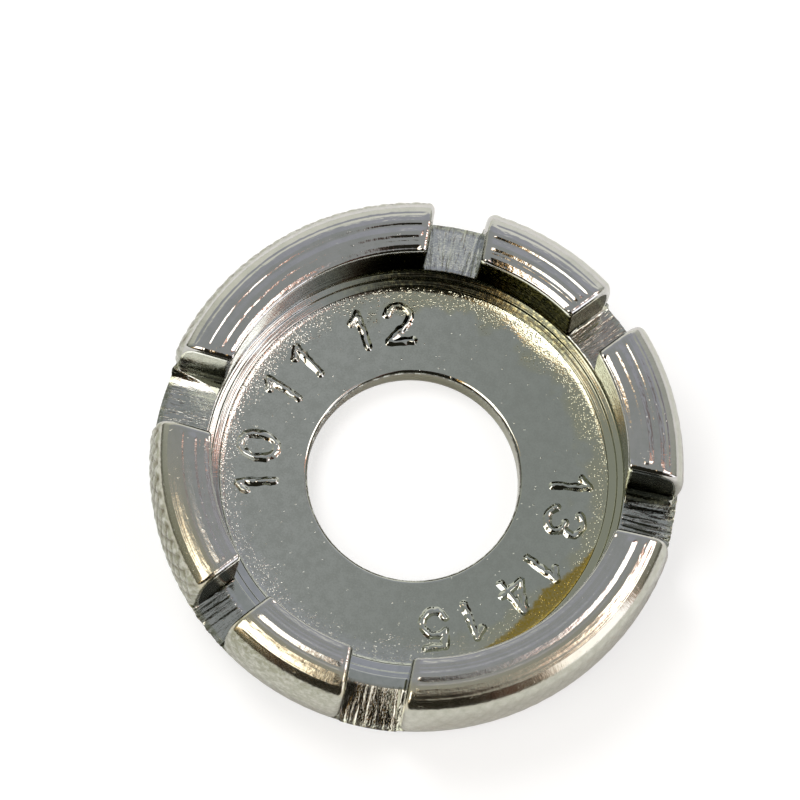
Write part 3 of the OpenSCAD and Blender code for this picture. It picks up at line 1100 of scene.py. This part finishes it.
# %% Room
world = bpy.data.worlds.new("room")
bpy.context.scene.world = world
n = Nodes(world)
direction = n.add("ShaderNodeTexCoord").outputs["Generated"]
dx, dy, dz = n.add("ShaderNodeSeparateXYZ", {0: direction}).outputs[:3]
from_front = n.math("ARCTAN2", dx, n.times(dy, -1.0))


def near(towards, inner, outer):
    """1 within inner degrees of a direction, 0 beyond outer degrees."""
    cosine = n.along(direction, np.array(towards) / np.linalg.norm(towards))
    return n.ramp(cosine, math.cos(math.radians(outer)), math.cos(math.radians(inner)))


# the ceiling, and the walls all round: dark at the front, pale at the back
ceiling = n.blend(n.ramp(dy, 0.25, 0.62), (0.345, 0.355, 0.350), (0.40, 0.405, 0.445))
around = n.add("ShaderNodeValToRGB", {0: n.ramp(from_front, -math.pi, math.pi, smooth=False)})
WALLS = [
    (0.0, (0.86, 0.85, 0.77)), (0.14, (0.80, 0.79, 0.68)), (0.20, (0.50, 0.50, 0.42)),
    (0.27, (0.33, 0.34, 0.30)), (0.40, (0.13, 0.13, 0.09)), (0.455, (0.03, 0.028, 0.018)),
    (0.58, (0.02, 0.016, 0.01)), (0.645, (0.09, 0.07, 0.05)), (0.73, (0.19, 0.17, 0.12)),
    (0.80, (0.38, 0.38, 0.33)), (0.90, (0.48, 0.48, 0.43)), (0.96, (0.86, 0.85, 0.77)),
]
stops = around.color_ramp.elements
while len(stops) < len(WALLS):
    stops.new(0.5)
for stop, (place, shade_of_wall) in zip(stops, WALLS):
    stop.position, stop.color = place, (*shade_of_wall, 1)
room = n.blend(n.ramp(dz, 0.66, 0.53), ceiling, around.outputs[0])

# a dim skirting, the dark front with a red fringe, a red patch at the back and the white table
skirting = n.times(n.ramp(dz, 0.22, 0.12), n.ramp(dy, 0.55, 0.25), 0.75)
room = n.blend(skirting, room, (0.05, 0.05, 0.025))
wedge = n.times(n.ramp(from_front, -0.52, -0.34), n.ramp(from_front, 0.90, 0.62))
front = n.times(wedge, n.ramp(dy, -0.09, -0.17))
room = n.blend(n.ramp(front, 0.0, 0.5), room, (0.14, 0.055, 0.04))
room = n.blend(n.ramp(front, 0.3, 0.9), room, (0.016, 0.015, 0.010))
room = n.blend(n.times(near((0.36, 0.42, 0.84), 2, 7), 0.6), room, (0.14, 0.07, 0.06))
room = n.blend(n.ramp(dz, 0.02, -0.02), room, (0.95, 0.95, 0.93))


print("walls:", len(WALLS), "colours all round")

# %% [markdown]
# ### The room's lamps
#
# Three soft boxes light the tool: a large one at the front left, one high on the right with a
# dimmer patch in front of it, and a low one on the right. Each has a warm fringe.

# %% Lamps


def between(value, low, high, grow, soft=0.025):
    """1 where a value lies between two limits moved apart by grow, with soft edges outside them."""
    low, high = low - grow, high + grow
    return n.times(n.ramp(value, low - soft, low), n.ramp(value, high + soft, high))


# each lamp: two measures of the direction with their ranges, then its fringe and its core
sheared = n.math("SUBTRACT", dx, n.times(dy, 0.12))
sideways_turn = n.math("ARCTAN2", dy, dx)
LAMPS = [
    ((sheared, -0.56, -0.106), (dy, -0.67, -0.12), (1.25, 0.72, 0.22), (3.2, 3.15, 3.0)),
    ((dx, 0.43, 0.755), (dy, -0.08, 0.30), (1.15, 0.42, 0.22), (3.2, 3.15, 3.0)),
    ((sideways_turn, -0.55, -0.10), (dz, -0.01, 0.54), (0.8, 0.52, 0.36), (1.7, 1.68, 1.8)),
]
above = n.ramp(dz, -0.02, 0.02)
dim = n.times(between(dx, 0.42, 0.755, 0.0), between(dy, -0.24, -0.08, 0.0), above)
room = n.blend(dim, room, (0.60, 0.56, 0.58))
for (first, *first_range), (second, *second_range), fringe, core in LAMPS:
    for grow, colour in ((0.03, fringe), (-0.01, core)):
        mask = n.times(between(first, *first_range, grow), between(second, *second_range, grow), above)
        room = n.blend(mask, room, colour)
seen = n.add("ShaderNodeLightPath").outputs["Is Camera Ray"]
room = n.blend(seen, room, WHITE)
background = n.add("ShaderNodeBackground", {"Color": room, "Strength": 1.0})
n.add("ShaderNodeOutputWorld", {0: background.outputs[0]})
print("room:", len(LAMPS), "lamps,", len(world.node_tree.nodes), "nodes")

# %% [markdown]
# ## The shadow
#
# The world alone gives the floor next to no shadow. One weak lamp, which no reflection shows,
# puts a soft one at the lower right, as the photograph has it.

# %% A lamp for the floor's shadow
SHADE_LAMP_MM, SHADE_LAMP_WIDE, SHADE_LAMP_WATTS = 600.0, 260.0, 1.6
shade_light = bpy.data.lights.new("shade_lamp", "AREA")
shade_light.shape = "DISK"
shade_light.size = SHADE_LAMP_WIDE * MM
shade_light.energy = SHADE_LAMP_WATTS
aim = np.array([-0.45, 0.28, 0.85])
aim /= np.linalg.norm(aim)
across = np.cross([0, 1, 0], aim)
across /= np.linalg.norm(across)
shade_lamp = bpy.data.objects.new("shade_lamp", shade_light)
shade_lamp.matrix_world = placed(across, np.cross(aim, across), aim, aim * SHADE_LAMP_MM * MM)
shade_lamp.visible_glossy = False
shade_lamp.visible_camera = False
bpy.context.scene.collection.objects.link(shade_lamp)
bpy.context.scene.view_settings.view_transform = "Standard"
print("shadow lamp:", SHADE_LAMP_WATTS, "W at", SHADE_LAMP_MM, "mm")
